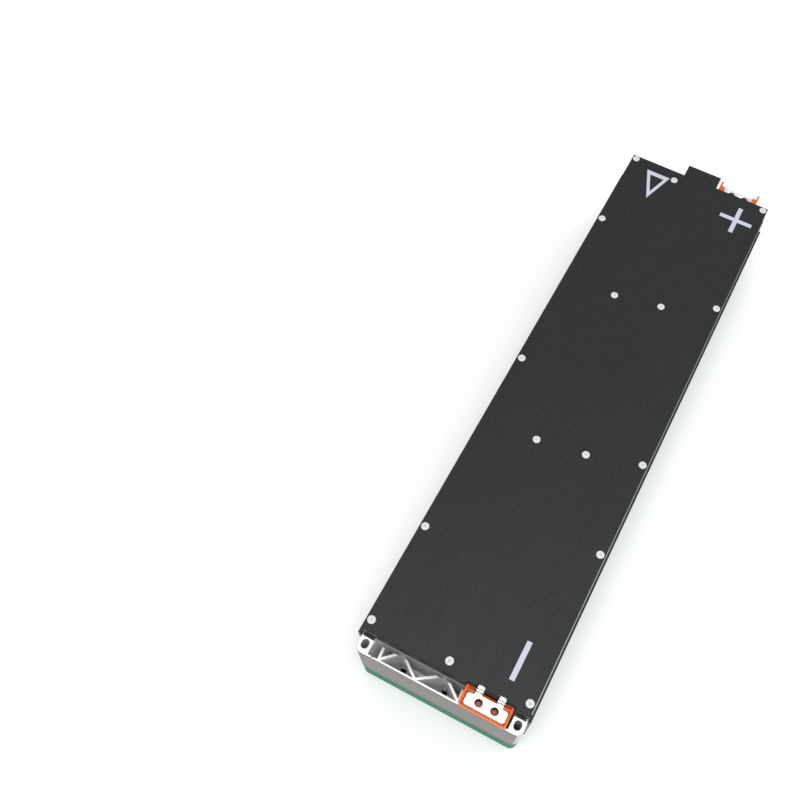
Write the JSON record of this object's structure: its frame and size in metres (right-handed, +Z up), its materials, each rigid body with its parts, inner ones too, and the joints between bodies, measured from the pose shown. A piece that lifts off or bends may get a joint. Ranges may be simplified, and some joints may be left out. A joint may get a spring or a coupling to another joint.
{
  "type": "electric vehicle battery module",
  "caption": "Long flat battery module: riveted black cover, ribbed metal end plates with slotted lugs, orange terminal boxes, green base tray.",
  "frame": {"origin": "centre of the footprint, on the floor under the base tray", "axes": "+Z up; +Y along the module towards its positive end; +X across it towards the side with the terminals"},
  "size_m": [0.1484, 0.565, 0.108],
  "materials": {
    "tray_green": "moulded, satin",
    "pad_grey": "soft foam",
    "film_clear": "thin clear film",
    "frame_black": "moulded, fine grain",
    "plate_aluminium": "cast and milled, satin",
    "side_aluminium": "extruded, satin",
    "film_black": "glossy insulating film",
    "busbar_aluminium": "rolled sheet",
    "housing_orange": "moulded, satin",
    "bar_nickel": "satin nickel plate",
    "clip_tin": "tin plate",
    "insert_copper": "copper alloy",
    "circuit_amber": "flexible circuit film",
    "connector_black": "moulded",
    "cover_black": "moulded sheet, fine grain",
    "rivet_white": "moulded nylon",
    "pin_white": "moulded nylon",
    "cell_can": "drawn can"
  },
  "bodies": {
    "root": {"base_tray": "tray_green", "bottom_pad": "pad_grey", "busbar_frame": "frame_black", "cell_01": "cell_can", "cell_02": "cell_can", "cell_03": "cell_can", "cell_04": "cell_can", "cell_05": "cell_can", "cell_06": "cell_can", "cell_07": "cell_can", "cell_08": "cell_can", "cell_09": "cell_can", "cell_10": "cell_can", "cell_11": "cell_can", "cell_12": "cell_can", "cell_busbars": "busbar_aluminium", "cell_separators": "pad_grey", "connector_pins": "clip_tin", "cover": "cover_black", "cover_rivets": "rivet_white", "end_insulator_far": "frame_black", "end_insulator_near": "frame_black", "end_plate_far": "plate_aluminium", "end_plate_near": "plate_aluminium", "output_busbar_far": "busbar_aluminium", "output_busbar_near": "busbar_aluminium", "rivet_pins": "pin_white", "sensing_strip": "circuit_amber", "sensing_tabs": "clip_tin", "side_film_left": "film_black", "side_film_right": "film_black", "side_plate_left": "side_aluminium", "side_plate_right": "side_aluminium", "signal_connector": "connector_black", "terminal_bar_far": "bar_nickel", "terminal_bar_near": "bar_nickel", "terminal_clips_far": "clip_tin", "terminal_clips_near": "clip_tin", "terminal_housing_far": "housing_orange", "terminal_housing_near": "housing_orange", "terminal_inserts_far": "insert_copper", "terminal_inserts_near": "insert_copper", "thermistors": "frame_black", "vent_films": "film_clear"}
  },
  "joints": []
}
